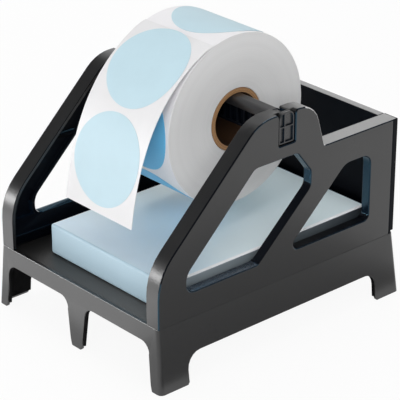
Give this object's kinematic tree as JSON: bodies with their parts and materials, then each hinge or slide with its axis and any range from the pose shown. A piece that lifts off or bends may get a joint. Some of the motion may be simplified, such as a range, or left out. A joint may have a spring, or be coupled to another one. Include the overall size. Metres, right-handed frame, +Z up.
{
  "type": "label roll holder",
  "caption": "Desktop holder with a lift-out spindle for a roll of round labels, over a tray for a fan-fold stack, on a raised stand.",
  "frame": {"origin": "on the ground under the middle of the holder's bounding box", "axes": "+Z up, +Y towards the rear wall, -Y the open front where the labels are drawn off, +X the right-hand side frame seen from the front"},
  "size_m": [0.1454, 0.1854, 0.1717],
  "materials": {
    "black_plastic": "satin",
    "spindle_plastic": "satin",
    "cardboard_core": "matte",
    "liner_paper": "satin",
    "label_paper": "satin",
    "stack_paper": "satin"
  },
  "bodies": {
    "holder": {"stand": "black_plastic", "floor_plate": "black_plastic", "left_side_frame": "black_plastic", "right_side_frame": "black_plastic", "rear_wall": "black_plastic"},
    "spindle": {"spindle": "spindle_plastic", "label_tail": "liner_paper", "tail_label_1": "label_paper", "tail_label_2": "label_paper"},
    "roll": {"roll_core": "cardboard_core", "label_roll": "liner_paper", "roll_label_1": "label_paper", "roll_label_2": "label_paper", "roll_label_3": "label_paper", "roll_label_4": "label_paper", "roll_label_5": "label_paper"},
    "stack": {"fanfold_stack": "stack_paper"}
  },
  "joints": [
    {"name": "spindle_lift", "type": "slide", "parent": "holder", "child": "spindle", "axis": [0, 0, 1], "range_m": [0, 0.08]},
    {"name": "roll_spin", "type": "hinge", "parent": "spindle", "child": "roll", "pos_m": [0, 0.0015, 0.1212], "axis": [1, 0, 0], "continuous": true},
    {"name": "stack_slide", "type": "slide", "parent": "holder", "child": "stack", "axis": [0, -1, 0], "range_m": [0, 0.17]}
  ]
}
